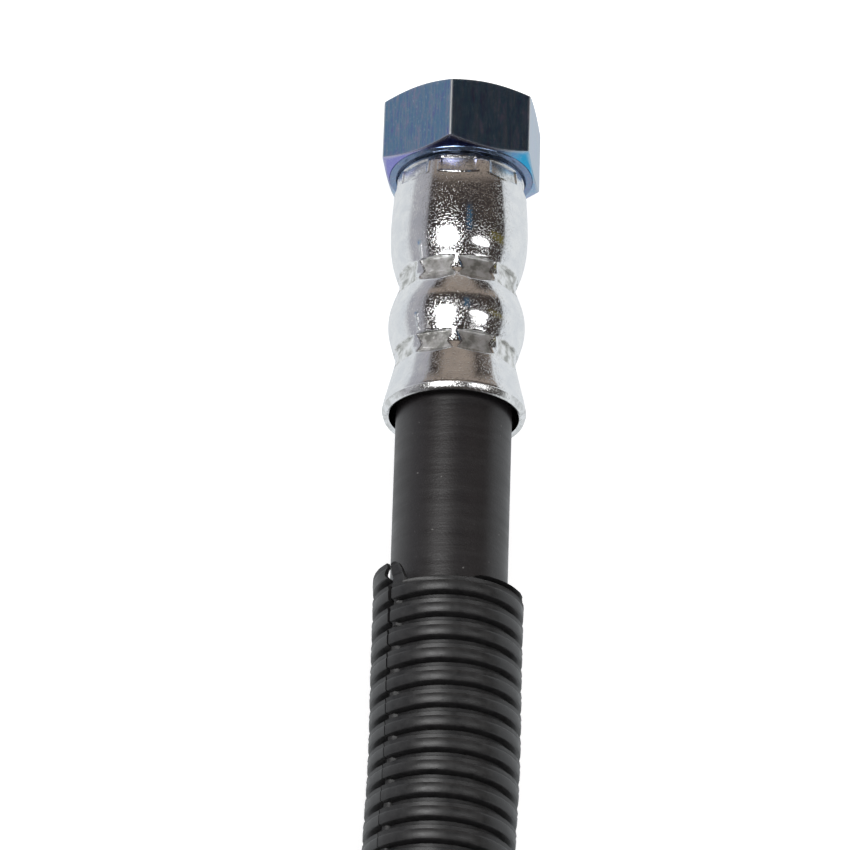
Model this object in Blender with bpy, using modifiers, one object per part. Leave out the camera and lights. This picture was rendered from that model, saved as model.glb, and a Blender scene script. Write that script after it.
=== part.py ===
"""Crimped pressure hose with a swivel nut at each end and a split sleeve slipped over the hose.

The hose lies on the floor in an open U. Each end fitting is made along its own Z axis, from the
nut's open face at zero back towards the hose, and is then laid down along +Y.
"""
import bisect
import math

import bmesh
import bpy
from mathutils import Matrix, Vector

GAP = 0.0003  # between pieces that touch
ROUND_STEPS = 24  # facets round a turned piece
SCREW_MERGE = 0.00001
WELD = 0.000001
SMOOTH_BELOW = math.radians(30)

# Swivel nut
NUT_FLATS = 0.024
NUT_LENGTH = 0.0123
NUT_FACE_RADIUS = 0.0115  # where the chamfers end
NUT_CHAMFER = math.radians(25)
THREAD_BORE_RADIUS = 0.0092
THREAD_DEPTH = 0.0075
NUT_SEAT = math.radians(45)
NUT_CORNERS = 6
BEYOND_CORNER = 0.001  # how far the turned nut stands out of the hexagonal bar
BEYOND_HOSE = 0.0012  # how far the cutter of the hose's bore stands out of its ends

# Tail: nose, head and neck in the nut, then the insert in the hose
NOSE_DEPTH = 0.0046
NOSE_RADIUS = 0.0056
NOSE_TAPER = math.radians(12)
HEAD_RADIUS = 0.0084
HEAD_THICKNESS = 0.0008
NECK_RADIUS = 0.0066
TAIL_BORE_RADIUS = 0.003
INSERT_LENGTH = 0.034

# Crimp ferrule: stations from its closed top to its bell mouth, as distance from the top and radius
FERRULE_STATIONS = (
    (0.0000, 0.01025),
    (0.0044, 0.0108),
    (0.0126, 0.0111),
    (0.0201, 0.00945),
    (0.0262, 0.0110),
    (0.0270, 0.0110),
    (0.0334, 0.0098),
    (0.0420, 0.01155),
)
FERRULE_WALL = 0.0012
FERRULE_TOP_WALL = 0.0015
LIP_LENGTH = 0.0011
LIP_THICKNESS = 0.0009
LIP_ROUND = 0.0003
STATION_STEPS = 4

# Marks of the crimping dies: flats pressed round the ferrule, as distance from the top to the
# first edge and to the last, number of flats, and distance of the flats from the axis
SHOULDER_MARKS = (0.0008, 0.0034, 8, 0.0102)
UPPER_CRIMP = (0.0185, 0.0217, 9, 0.0091)
LOWER_CRIMP = (0.0319, 0.0350, 9, 0.0094)
SHOULDER_TURN = math.radians(137)  # a corner of each ring of flats, from +X over the top
CRIMP_TURN = math.radians(113)

# Hose
HOSE_DIAMETER = 0.0186
HOSE_BORE = 0.0095
HOSE_SIDES = 12
EXPOSED_HOSE = 0.0325  # bare hose between the bell mouth and the sleeve

# Split sleeve, with ribs that run round it outside
SLEEVE_DIAMETER = 0.024
SLEEVE_BORE = 0.0198
SLIT_WIDTH = 0.001
SLIT_ANGLE = math.radians(162)  # on the near leg, from +X over the top; inside the bend
SLEEVE_SIDES = 12
RIB_PITCH = 0.00383
FIRST_GROOVE = 0.00345  # from the sleeve's cut end to the middle of its first groove
GROOVE_WIDTH = 0.0017
GROOVE_DEPTH = 0.0014
STOPS_PER_RIB = 3
RIBS_PER_BORE_STEP = 3

# Route of the hose's centre line from one bell mouth to the other, seen from above: X, and Y from
# the plane of the two mouths
ROUTE_POINTS = (
    (0.0, 0.0),
    (0.0, -0.017),
    (0.0, -0.042),
    (-0.0001, -0.067),
    (-0.0025, -0.098),
    (-0.0135, -0.135),
    (-0.039, -0.167),
    (-0.0697, -0.1847),
    (-0.1046, -0.191),
    (-0.1395, -0.1847),
    (-0.1702, -0.167),
    (-0.1957, -0.135),
    (-0.2067, -0.098),
    (-0.2091, -0.067),
    (-0.2092, -0.042),
    (-0.2092, -0.017),
    (-0.2092, 0.0),
)
ROUTE_STEP = 0.012
CURVE_STEPS = 40  # between each two route points

FERRULE_LENGTH = FERRULE_STATIONS[-1][0] + LIP_LENGTH
FERRULE_TOP = NUT_LENGTH + GAP
FITTING_LENGTH = FERRULE_TOP + FERRULE_LENGTH
AXIS_HEIGHT = NUT_FLATS / 2
NUT_FACE_Y = FITTING_LENGTH / 2
MOUTH_Y = NUT_FACE_Y - FITTING_LENGTH
REAR_BORE_RADIUS = NECK_RADIUS + GAP
NECK_END = FERRULE_TOP + FERRULE_TOP_WALL + GAP
HOSE_START = NECK_END + GAP
INSERT_END = NECK_END + INSERT_LENGTH


def clear_scene():
    """Removes every object of the scene that the script runs in."""
    for item in list(bpy.data.objects):
        bpy.data.objects.remove(item, do_unlink=True)


def new_collection(name):
    """Makes a collection in the scene."""
    made = bpy.data.collections.new(name)
    bpy.context.scene.collection.children.link(made)
    return made


def material(name, colour, roughness, metallic):
    """Makes a plain Principled BSDF material."""
    made = bpy.data.materials.new(name)
    made.use_nodes = True
    shader = made.node_tree.nodes["Principled BSDF"]
    shader.inputs["Base Color"].default_value = (*colour, 1)
    shader.inputs["Roughness"].default_value = roughness
    shader.inputs["Metallic"].default_value = metallic
    return made


def turned(name, outline, collection, steps=ROUND_STEPS):
    """Turns a closed outline of (distance back, radius) points round the Z axis."""
    mesh = bpy.data.meshes.new(name)
    points = [(radius, 0, -back) for back, radius in outline]
    edges = [(i, (i + 1) % len(points)) for i in range(len(points))]
    mesh.from_pydata(points, edges, [])
    made = bpy.data.objects.new(name, mesh)
    collection.objects.link(made)
    screw = made.modifiers.new("Turn", "SCREW")
    screw.axis = "Z"
    screw.steps = steps
    screw.render_steps = steps
    screw.use_merge_vertices = True
    screw.merge_threshold = SCREW_MERGE
    return made


def mesh_from(item, name):
    """Makes a welded mesh of an object as it stands in the scene, and removes the object."""
    bpy.context.view_layer.update()
    graph = bpy.context.evaluated_depsgraph_get()
    mesh = bpy.data.meshes.new_from_object(item.evaluated_get(graph))
    mesh.name = name
    made = bpy.data.objects.new(name, mesh)
    made.matrix_world = item.matrix_world.copy()
    for owner in item.users_collection:
        owner.objects.link(made)
    bpy.data.objects.remove(item, do_unlink=True)
    made.name = name
    work = bmesh.new()
    work.from_mesh(mesh)
    bmesh.ops.remove_doubles(work, verts=work.verts, dist=WELD)
    bmesh.ops.recalc_face_normals(work, faces=work.faces)
    work.to_mesh(mesh)
    work.free()
    return made


def combine(item, cutter, operation):
    """Gives an object a Boolean modifier and hides the other shape."""
    boolean = item.modifiers.new("Shape with " + cutter.name, "BOOLEAN")
    boolean.operation = operation
    boolean.object = cutter
    cutter.hide_render = True
    cutter.display_type = "WIRE"


def smooth(mesh):
    """Shades round faces smooth and keeps the edges sharp."""
    mesh.shade_smooth()
    mesh.set_sharp_from_angle(angle=SMOOTH_BELOW)


def ferrule_radius(back):
    """Gives the ferrule's outer radius at a distance from its top, easing between the stations."""
    for (start, first), (end, last) in zip(FERRULE_STATIONS, FERRULE_STATIONS[1:]):
        if back <= end:
            share = (1 - math.cos(math.pi * (back - start) / (end - start))) / 2
            return first + (last - first) * share
    return FERRULE_STATIONS[-1][1]


def ferrule_bore_radius(back):
    """Gives the ferrule's inner radius, whose wall thins towards the bell mouth."""
    mouth_start = FERRULE_STATIONS[-2][0]
    share = max(0, (back - mouth_start) / (FERRULE_LENGTH - mouth_start))
    return ferrule_radius(back) - FERRULE_WALL + (FERRULE_WALL - LIP_THICKNESS) * share


def ferrule_stops(steps):
    """Gives distances from the ferrule's top, a few between each two stations."""
    stops = [FERRULE_STATIONS[0][0]]
    for (start, _), (end, _) in zip(FERRULE_STATIONS, FERRULE_STATIONS[1:]):
        stops += [start + (end - start) * (i + 1) / steps for i in range(steps)]
    return stops


def nut_outline():
    """Gives the nut's turned outline: chamfered outside, thread bore, seat and rear bore inside."""
    corner_radius = NUT_FLATS / 2 / math.cos(math.pi / NUT_CORNERS)
    beyond_corner = corner_radius + BEYOND_CORNER
    chamfer = (beyond_corner - NUT_FACE_RADIUS) * math.tan(NUT_CHAMFER)
    seat_length = (THREAD_BORE_RADIUS - REAR_BORE_RADIUS) / math.tan(NUT_SEAT)
    return (
        (0, NUT_FACE_RADIUS),
        (chamfer, beyond_corner),
        (NUT_LENGTH - chamfer, beyond_corner),
        (NUT_LENGTH, NUT_FACE_RADIUS),
        (NUT_LENGTH, REAR_BORE_RADIUS),
        (THREAD_DEPTH + seat_length, REAR_BORE_RADIUS),
        (THREAD_DEPTH, THREAD_BORE_RADIUS),
        (0, THREAD_BORE_RADIUS),
    )


def tail_outline():
    """Gives the tail's turned outline, whose head lies against the nut's seat."""
    seat_offset = GAP / math.sin(NUT_SEAT)
    head_edge = THREAD_DEPTH + (THREAD_BORE_RADIUS - HEAD_RADIUS) / math.tan(NUT_SEAT) - seat_offset
    neck_start = THREAD_DEPTH + (THREAD_BORE_RADIUS - NECK_RADIUS) / math.tan(NUT_SEAT) - seat_offset
    head_start = head_edge - HEAD_THICKNESS
    nose_base = NOSE_RADIUS + (head_start - NOSE_DEPTH) * math.tan(NOSE_TAPER)
    insert_radius = HOSE_BORE / 2 - GAP
    return (
        (NOSE_DEPTH, TAIL_BORE_RADIUS),
        (NOSE_DEPTH, NOSE_RADIUS),
        (head_start, nose_base),
        (head_start, HEAD_RADIUS),
        (head_edge, HEAD_RADIUS),
        (neck_start, NECK_RADIUS),
        (NECK_END, NECK_RADIUS),
        (NECK_END, insert_radius),
        (INSERT_END, insert_radius),
        (INSERT_END, TAIL_BORE_RADIUS),
    )


def ferrule_outline():
    """Gives the ferrule's turned outline, with its closed top, its two waists and its rolled lip."""
    mouth_radius = FERRULE_STATIONS[-1][1]
    outer = [(FERRULE_TOP + back, ferrule_radius(back)) for back in ferrule_stops(STATION_STEPS)]
    lip = [
        (FITTING_LENGTH - LIP_ROUND, mouth_radius),
        (FITTING_LENGTH, mouth_radius - LIP_ROUND),
        (FITTING_LENGTH, mouth_radius - LIP_THICKNESS),
    ]
    inside = [stop for stop in ferrule_stops(STATION_STEPS // 2) if stop > FERRULE_TOP_WALL]
    bore = [(FERRULE_TOP + back, ferrule_bore_radius(back)) for back in reversed(inside)]
    top = [
        (FERRULE_TOP + FERRULE_TOP_WALL, ferrule_bore_radius(FERRULE_TOP_WALL)),
        (FERRULE_TOP + FERRULE_TOP_WALL, REAR_BORE_RADIUS),
        (FERRULE_TOP, REAR_BORE_RADIUS),
    ]
    return outer + lip + bore + top


def make_nut(name, parts, guides):
    """Makes a hexagonal nut: the turned outline kept inside a hexagonal bar."""
    nut = turned(name, nut_outline(), parts)
    bar_mesh = bpy.data.meshes.new(name + "_bar")
    work = bmesh.new()
    corner_radius = NUT_FLATS / 2 / math.cos(math.pi / NUT_CORNERS)
    bmesh.ops.create_cone(
        work, cap_ends=True, segments=NUT_CORNERS, radius1=corner_radius, radius2=corner_radius,
        depth=NUT_LENGTH * 2, matrix=Matrix.Rotation(math.pi / 2, 4, "Z"))
    work.to_mesh(bar_mesh)
    work.free()
    bar = bpy.data.objects.new(name + "_bar", bar_mesh)
    guides.objects.link(bar)
    bar.parent = nut
    combine(nut, bar, "INTERSECT")
    return nut


def press_flats(ferrule, marks, turn, name, guides):
    """Presses one ring of flats into a ferrule with a ring-shaped cutter whose hole has flat sides."""
    start, end, count, flat_distance = marks
    corner = flat_distance / math.cos(math.pi / count)
    beyond = FERRULE_STATIONS[-1][1]
    outline = [(FERRULE_TOP + back, radius) for back, radius in (
        (start, beyond), (end, beyond), (end, corner), (start, corner))]
    dies = turned(name, outline, guides, steps=count)
    dies.rotation_euler = (0, 0, -turn)
    dies.parent = ferrule
    combine(ferrule, dies, "DIFFERENCE")


def make_fitting(prefix, mouth_x, parts, guides, finishes):
    """Makes the nut, the tail and the ferrule of one end, laid along +Y with the nut's mouth out."""
    nut = make_nut(prefix + "swivel_nut", parts, guides)
    tail = turned(prefix + "hose_tail", tail_outline(), parts)
    ferrule = turned(prefix + "crimp_ferrule", ferrule_outline(), parts)
    press_flats(ferrule, SHOULDER_MARKS, SHOULDER_TURN, prefix + "shoulder_dies", guides)
    press_flats(ferrule, UPPER_CRIMP, CRIMP_TURN, prefix + "upper_dies", guides)
    press_flats(ferrule, LOWER_CRIMP, CRIMP_TURN, prefix + "lower_dies", guides)
    for piece, finish in zip((nut, tail, ferrule), finishes):
        piece.location = (mouth_x, NUT_FACE_Y, AXIS_HEIGHT)
        piece.rotation_euler = (-math.pi / 2, 0, 0)
        piece.data.materials.append(finish)


def smooth_route():
    """Gives close points of the smooth centre line between the bell mouths, and lengths up to each."""
    points = [Vector((x, MOUTH_Y + y, AXIS_HEIGHT)) for x, y in ROUTE_POINTS]
    padded = [points[0] * 2 - points[1], *points, points[-1] * 2 - points[-2]]
    fine = []
    for a, b, c, d in zip(padded, padded[1:], padded[2:], padded[3:]):
        for i in range(CURVE_STEPS):
            t = i / CURVE_STEPS
            fine.append(
                (b * 2 + (c - a) * t + (a * 2 - b * 5 + c * 4 - d) * t * t
                 + (b * 3 - a - c * 3 + d) * t * t * t) / 2)
    fine.append(points[-1])
    lengths = [0.0]
    for a, b in zip(fine, fine[1:]):
        lengths.append(lengths[-1] + (b - a).length)
    return fine, lengths


def point_at(route, distance):
    """Gives the point at a distance along the route."""
    fine, lengths = route
    k = bisect.bisect_left(lengths, distance, 1, len(lengths) - 1)
    share = (distance - lengths[k - 1]) / (lengths[k] - lengths[k - 1])
    return fine[k - 1].lerp(fine[k], share)


def sideways_at(route, distance):
    """Gives the level direction square to the route at a distance along it, to its right."""
    forward = point_at(route, distance + RIB_PITCH / 2) - point_at(route, distance - RIB_PITCH / 2)
    return forward.cross(Vector((0, 0, -1))).normalized()


def tube(name, points, sections, collection):
    """Makes a round tube along points, each with its radius."""
    curve = bpy.data.curves.new(name, "CURVE")
    curve.dimensions = "3D"
    curve.twist_mode = "Z_UP"
    curve.bevel_depth = 1
    curve.bevel_resolution = HOSE_SIDES // 2 - 2
    curve.use_fill_caps = True
    spline = curve.splines.new("POLY")
    spline.points.add(len(points) - 1)
    for target, point, radius in zip(spline.points, points, sections):
        target.co = (*point, 1)
        target.radius = radius
    made = bpy.data.objects.new(name, curve)
    collection.objects.link(made)
    return made


def crimped_stretch():
    """Gives the hose inside one ferrule, as distance out from the bell mouth and squeezed radius."""
    stretch = []
    for back in ferrule_stops(STATION_STEPS // 2):
        if FERRULE_TOP + back > HOSE_START:
            radius = min(HOSE_DIAMETER / 2, ferrule_bore_radius(back) - GAP)
            stretch.append((FERRULE_LENGTH - back, radius))
    start = HOSE_START - FERRULE_TOP
    stretch.insert(0, (FERRULE_LENGTH - start, ferrule_bore_radius(start) - GAP))
    return stretch


def make_hose(parts, guides, finish):
    """Makes the hose between the two tails, squeezed inside the ferrules, with its bore."""
    route = smooth_route()
    length = route[1][-1]
    count = round(length / ROUTE_STEP)
    middle = [point_at(route, length * i / count) for i in range(count + 1)]
    inside = crimped_stretch()
    near = [middle[0] + Vector((0, out, 0)) for out, _ in inside]
    far = [middle[-1] + Vector((0, out, 0)) for out, _ in reversed(inside)]
    squeezed = [radius for _, radius in inside]
    points = near + middle + far
    sections = squeezed + [HOSE_DIAMETER / 2] * len(middle) + squeezed[::-1]
    hose = mesh_from(tube("rubber_hose", points, sections, parts), "rubber_hose")
    past_end = Vector((0, BEYOND_HOSE, 0))
    bore_points = [near[0] + past_end, *middle, far[-1] + past_end]
    bore = tube("hose_bore", bore_points, [HOSE_BORE / 2] * len(bore_points), guides)
    bore = mesh_from(bore, "hose_bore")
    combine(hose, bore, "DIFFERENCE")
    hose.data.materials.clear()
    hose.data.materials.append(finish)
    smooth(hose.data)


def sleeve_ring(work, route, distance, radius):
    """Adds points round the route, from one lip of the sleeve's slit to the other."""
    centre = point_at(route, distance)
    across = sideways_at(route, distance)
    half_slit = math.asin(SLIT_WIDTH / 2 / radius)
    sweep = 2 * math.pi - 2 * half_slit
    ring = []
    for i in range(SLEEVE_SIDES + 1):
        angle = math.pi - SLIT_ANGLE - half_slit - sweep * i / SLEEVE_SIDES
        rise = Vector((0, 0, radius * math.sin(angle)))
        ring.append(work.verts.new(centre + across * radius * math.cos(angle) + rise))
    return ring


def ribbed_stops(start, end):
    """Gives the sleeve's outside as distances and radii: a flat crown, then a groove, and so on."""
    crown = SLEEVE_DIAMETER / 2
    stops = [(start, crown)]
    middle = start + FIRST_GROOVE
    while middle + GROOVE_WIDTH < end:
        stops += [
            (middle - GROOVE_WIDTH / 2, crown),
            (middle, crown - GROOVE_DEPTH),
            (middle + GROOVE_WIDTH / 2, crown),
        ]
        middle += RIB_PITCH
    stops.append((end, crown))
    return stops


def bridge(work, first, second):
    """Fills the strip between two rings of points."""
    for a, b, c, d in zip(first, first[1:], second[1:], second):
        work.faces.new((a, b, c, d))


def make_sleeve(parts, finish):
    """Makes the split sleeve along the hose, short of both bell mouths: ribbed outside, plain inside."""
    route = smooth_route()
    stops = ribbed_stops(EXPOSED_HOSE, route[1][-1] - EXPOSED_HOSE)
    work = bmesh.new()
    outside = [sleeve_ring(work, route, distance, radius) for distance, radius in stops]
    for first, second in zip(outside, outside[1:]):
        bridge(work, first, second)
    marks = [*range(0, len(stops) - STOPS_PER_RIB, STOPS_PER_RIB * RIBS_PER_BORE_STEP), len(stops) - 1]
    inside = [sleeve_ring(work, route, stops[k][0], SLEEVE_BORE / 2) for k in marks]
    for first, second in zip(inside, inside[1:]):
        bridge(work, second, first)
    bridge(work, inside[0], outside[0])
    bridge(work, outside[-1], inside[-1])
    for side in (0, -1):
        for (k, following), first, second in zip(zip(marks, marks[1:]), inside, inside[1:]):
            lip = [outside[j][side] for j in range(k, following + 1)]
            work.faces.new([first[side], *lip, second[side]])
    bmesh.ops.recalc_face_normals(work, faces=work.faces)
    mesh = bpy.data.meshes.new("split_loom")
    work.to_mesh(mesh)
    work.free()
    made = bpy.data.objects.new("split_loom", mesh)
    parts.objects.link(made)
    mesh.materials.append(finish)
    smooth(mesh)


def main():
    """Makes the whole hose."""
    clear_scene()
    parts = new_collection("power_steering_pressure_hose")
    guides = new_collection("cutters")
    zinc_blue = material("blue_zinc", (0.33, 0.4, 0.55), 0.35, 1)
    tail_steel = material("tail_steel", (0.5, 0.52, 0.55), 0.4, 1)
    bright_zinc = material("bright_zinc", (0.75, 0.75, 0.76), 0.15, 1)
    rubber = material("hose_rubber", (0.03, 0.03, 0.03), 0.7, 0)
    loom_plastic = material("loom_plastic", (0.015, 0.015, 0.015), 0.35, 0)
    finishes = (zinc_blue, tail_steel, bright_zinc)
    make_fitting("", 0, parts, guides, finishes)
    make_fitting("far_", ROUTE_POINTS[-1][0], parts, guides, finishes)
    make_hose(parts, guides, rubber)
    make_sleeve(parts, loom_plastic)


main()
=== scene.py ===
"""Looks of the crimped pressure hose: finishes, pressed and ribbed forms, light and camera.

All lengths are in metres, in the CAD model's frame: the hose's near end lies along +Y.
"""
import math

import bpy
import numpy as np
from mathutils import Matrix, Vector


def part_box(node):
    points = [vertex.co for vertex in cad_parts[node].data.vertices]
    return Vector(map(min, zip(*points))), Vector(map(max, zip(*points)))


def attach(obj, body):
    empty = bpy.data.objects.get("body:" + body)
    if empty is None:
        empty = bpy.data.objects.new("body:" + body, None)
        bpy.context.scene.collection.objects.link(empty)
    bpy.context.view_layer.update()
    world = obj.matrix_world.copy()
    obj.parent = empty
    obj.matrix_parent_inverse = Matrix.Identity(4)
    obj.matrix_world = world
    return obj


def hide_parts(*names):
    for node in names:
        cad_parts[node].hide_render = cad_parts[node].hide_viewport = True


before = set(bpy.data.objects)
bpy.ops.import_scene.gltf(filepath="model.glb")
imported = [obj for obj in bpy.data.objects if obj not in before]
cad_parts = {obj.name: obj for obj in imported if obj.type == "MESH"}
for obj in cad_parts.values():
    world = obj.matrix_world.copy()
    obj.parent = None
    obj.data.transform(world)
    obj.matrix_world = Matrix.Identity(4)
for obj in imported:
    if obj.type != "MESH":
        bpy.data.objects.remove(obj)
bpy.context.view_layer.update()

MM = 0.001

# Camera, from the photograph's own lines
SENSOR = 36.0
LENS = 270.0
CAMERA_DISTANCE = 1017.6 * MM
AXIS_TILT = math.radians(26.1)  # the hose's axis out of the picture plane
CAMERA_SIDE = math.radians(111.5)  # round the hose's axis, from +X over the top
CAMERA_ROLL = math.radians(1.86)
AIM_BACK = 56.8 * MM  # from the nut's face
AIM_LEFT = 4.56 * MM

# Surroundings, read from what the ferrule mirrors
ROOM_DARK = (0.042, 0.034, 0.031)
ROOM_BROWN = (0.3, 0.25, 0.21)
ROOM_GREY = (0.4, 0.4, 0.43)
ROOM_WHITE = (0.76, 0.79, 0.81)
ROOM_BLUE = (0.04, 0.1, 0.17)
ROOM_YELLOW = (0.13, 0.11, 0.03)
# Where a side of the room begins and is full, in degrees round the axis from +X over the top
LEFT_WALL = (163, 173)
LEFT_FLOOR = (197, 210)
RIGHT_SIDE = (34, 28)
OVERHEAD_MIDDLE = 108
OVERHEAD_SIDES = (48, 24)
# The same along the axis, as the share of +Y in a direction
OVERHEAD_START = (0.595, 0.645)
OVERHEAD_WIDE_END = (0.7, 0.8)
PALE_FRONT = (0.94, 0.97)
DARK_REAR = (-0.8, -0.9)
# Middle and reach round the axis, then middle and reach along it
BLUE_STRIPE = (96, 6, 0.33, 0.2)
YELLOW_PATCH = (44, 20, 0.2, 0.08)
FLOOR_REACH = 6.0
FLOOR_DROP = 0.0002
FLOOR_GLOW = 0.42
LIGHT_DISTANCE = 0.9

# Sizes read from the frame
nut_low, nut_high = (Vector(corner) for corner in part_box("swivel_nut"))
ferrule_low, ferrule_high = (Vector(corner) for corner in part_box("crimp_ferrule"))
far_nut_low, far_nut_high = (Vector(corner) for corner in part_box("far_swivel_nut"))
NUT_FLATS = nut_high.z - nut_low.z
NUT_LENGTH = nut_high.y - nut_low.y
NUT_FACE_Y = nut_high.y
FERRULE_TOP = NUT_FACE_Y - ferrule_high.y
MOUTH_Y = ferrule_low.y
FITTING_LENGTH = NUT_FACE_Y - MOUTH_Y
AXIS_HEIGHT = nut_low.z + NUT_FLATS / 2
FAR_X = (far_nut_low.x + far_nut_high.x) / 2

# Nut
NUT_CORNERS = 6
NUT_HALF_SECTOR = math.pi / NUT_CORNERS
# Degrees from a corner where the hexagon has points, closer together near the corner
NUT_STEPS = (0, 0.35, 0.7, 1.05, 1.7, 3, 5, 8, 12, 16.5, 21, 25.5)
NUT_FACE_RADIUS = 11.5 * MM
NUT_CHAMFER = math.radians(25)
NUT_EDGE_ROUND = 0.4 * MM
THREAD_RADIUS = 9.2 * MM
THREAD_DEPTH = 7.5 * MM
THREAD_PITCH = 1.5 * MM
THREAD_CREST = 0.75 * MM
THREAD_START = 0.9 * MM
THREAD_RUNOUT = 0.5 * MM
THREAD_ROWS = 10  # in one pitch
MOUTH_PLAY = 0.1 * MM
REAR_BORE_RADIUS = 6.9 * MM
# The ring on the rear face in mm: distance past the nut's end, rise over the face's radius
REAR_RING = (
    (-0.17, 0.12), (-0.12, 0.09), (0.0, 0.07), (0.1, 0.05), (0.16, -0.02), (0.19, -0.12))
# Wear, painted highlights, painted shade and tints of the nut: how far each reaches, how strong it
# is, or its degrees round the axis
# Corners and chamfer edges are lightened: wear, and also a painted edge highlight
WORN_SHEEN_CORNER = math.radians(1.2)
WORN_SHEEN_CORNER_SHARE = 0.85
WORN_SHEEN_EDGE = 0.16 * MM
WORN_SHEEN_EDGE_SHARE = 0.5
# Painted reflection: one flat, at this angle and half width, is made paler by this share
PALE_FLAT = 30
PALE_FLAT_HALF_WIDTH = 29
PALE_FLAT_SHARE = 0.4
# Painted highlight: the rim of the rear face is lightened by this share
REAR_RIM = 0.2 * MM
REAR_RIM_SHARE = 0.08
# Painted shade: the ring on the rear face, next to the ferrule, is darkened by this share
REAR_RING_REACH = 0.25 * MM
REAR_RING_SHARE = 0.45
# Painted dark reflection: the rear chamfer is darkened to navy round this angle, the side towards
# the camera, fading out between these reaches
PAINTED_DARK_CHAMFER = 113
PAINTED_DARK_CHAMFER_FADE = (22, 42)
CHAMFER_PATCHES = (("cyan", 47, 17), ("violet", 176, 34))

# Tail
NOSE_DEPTH = 4.6 * MM
NOSE_RADIUS = 5.6 * MM
HEAD_RADIUS = 8.4 * MM
NECK_RADIUS = 6.6 * MM
TAIL_BORE_RADIUS = 3.0 * MM
NECK_END = 14.3 * MM
INSERT_RADIUS = 4.4 * MM
INSERT_END = 30 * MM
TAIL_COLUMNS = 128

# Ferrule: distances from its top and radii in mm, closer together than in the CAD model
FERRULE_STATIONS = (
    (0.0, 10.25), (1.8, 10.48), (3.4, 10.68), (7.6, 11.02), (10.8, 11.1), (14.2, 10.86),
    (16.4, 10.4), (18.4, 9.75), (20.0, 9.46), (20.5, 9.43), (21.0, 9.55), (21.8, 9.86),
    (23.2, 10.38), (25.0, 10.86), (26.6, 11.01), (28.6, 10.85), (30.4, 10.39), (32.0, 9.94),
    (33.3, 9.75), (33.8, 9.72), (34.3, 9.8), (35.2, 10.01), (38.4, 10.78), (40.6, 11.32),
    (41.6, 11.5), (41.9, 11.52))
FERRULE_WALL = 1.2 * MM
FERRULE_TOP_ROUND = 0.3 * MM
FERRULE_INSIDE_END = 30 * MM  # from its top, deeper than can be seen
FERRULE_COLUMNS = 288
# Rows along the ferrule in mm: their distance, plain and where the dies marked it, and a margin
ROW_STEP = 0.35
MARKED_ROW_STEP = 0.1
MARKED_MARGIN = 0.8
LIP_THICKNESS = 0.7 * MM
LIP_LENGTH = 1.2 * MM
# The rolled lip as shares of its length and thickness
LIP_ROLL = (
    (0.04, -0.06), (0.12, -0.02), (0.3, 0.06), (0.5, 0.15), (0.7, 0.25), (0.85, 0.36),
    (0.94, 0.48), (0.99, 0.64), (1.0, 0.8), (0.96, 1.0))
# Marks pressed in the shoulder: first edge, last edge, number of marks and their depth
SHOULDER_MARKS = (0.75, 3.35, 8, 0.2)
MARK_HALF_ANGLE = math.radians(15.5)
MARK_BOW = 0.35
MARK_DISHING = 0.1
MARK_RAISED = 0.07 * MM
# Crimp rings: first edge, last edge, number of flats, their distance from the axis
UPPER_CRIMP = (18.5, 21.7, 9, 9.1)
LOWER_CRIMP = (31.9, 35.0, 9, 9.4)
DIE_RIDGE = 0.5 * MM
DIE_RIDGE_HALF_ANGLE = math.radians(3)
DIE_SLOPE_ABOVE = 3
DIE_SLOPE_BELOW = 1.15
DIE_BLEND = 0.06 * MM
DIE_FULL_DEPTH = 0.12 * MM
# How dull the metal is where it was marked or rolled, against a die's flat
MARK_DULLNESS = 0.6
LIP_DULLNESS = 0.5
SHOULDER_TURN = math.radians(137)
CRIMP_TURN = math.radians(113)

# Hose and its route, as in the CAD model
HOSE_DIAMETER = 18.6 * MM
HOSE_IN_FERRULE = 9.0 * MM
HOSE_SQUEEZE = 0.9 * MM
HOSE_COLUMNS = 72
HOSE_ROW_STEP = 1.0 * MM
ROUTE_STEPS = 40  # between two of the route's points
ROUTE_POINTS = (
    (0.0, 0.0), (0.0, -0.017), (0.0, -0.042), (-0.0001, -0.067), (-0.0025, -0.098),
    (-0.0135, -0.135), (-0.039, -0.167), (-0.0697, -0.1847), (-0.1046, -0.191),
    (-0.1395, -0.1847), (-0.1702, -0.167), (-0.1957, -0.135), (-0.2067, -0.098),
    (-0.2091, -0.067), (-0.2092, -0.042), (-0.2092, -0.017), (-0.2092, 0.0))

# Split sleeve
EXPOSED_HOSE = 32.5 * MM
RIB_PITCH = 3.83 * MM
FIRST_GROOVE = 3.45 * MM
# A whole rib from its groove's middle to the next: distance and radius in mm
RIB_PROFILE = (
    (0.0, 10.5), (0.42, 10.5), (0.6, 11.5), (0.67, 11.8), (0.78, 11.92), (1.28, 11.8),
    (1.42, 11.77), (1.54, 11.88), (1.66, 11.91), (2.98, 11.86), (3.08, 11.79), (3.18, 11.5),
    (3.36, 10.5), (3.83, 10.5))
CROWN_RADIUS = 11.92 * MM
SLEEVE_WALL = 0.65 * MM
SLEEVE_PLAY = 0.3 * MM
SLEEVE_CLEARANCE = 0.02 * MM
SLIT_ANGLE = math.radians(162)
SLIT_TWIST = math.radians(2.2)
SLIT_TWIST_REACH = 15 * MM
SLIT_WIDTH = 1.05 * MM
SLIT_CLOSED = 0.15 * MM
SLIT_DECAY = 8 * MM
# The notch that opens the slit at the cut end: its angle, how far past the end, and its reach
SLIT_OPENING = math.radians(4.5)
NOTCH_PLACE = -1.9 * MM
NOTCH_REACH = 0.75 * MM
# Webs beside the slit and the lip at the cut end, in degrees past the slit
WEB_ANGLE = 6.5
WEB_FADE = 1.5
WEB_RADIUS = 11.2 * MM
END_LIP = 0.6 * MM
END_LIP_ANGLE = 17
END_LIP_RADIUS = 11.7 * MM
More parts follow.
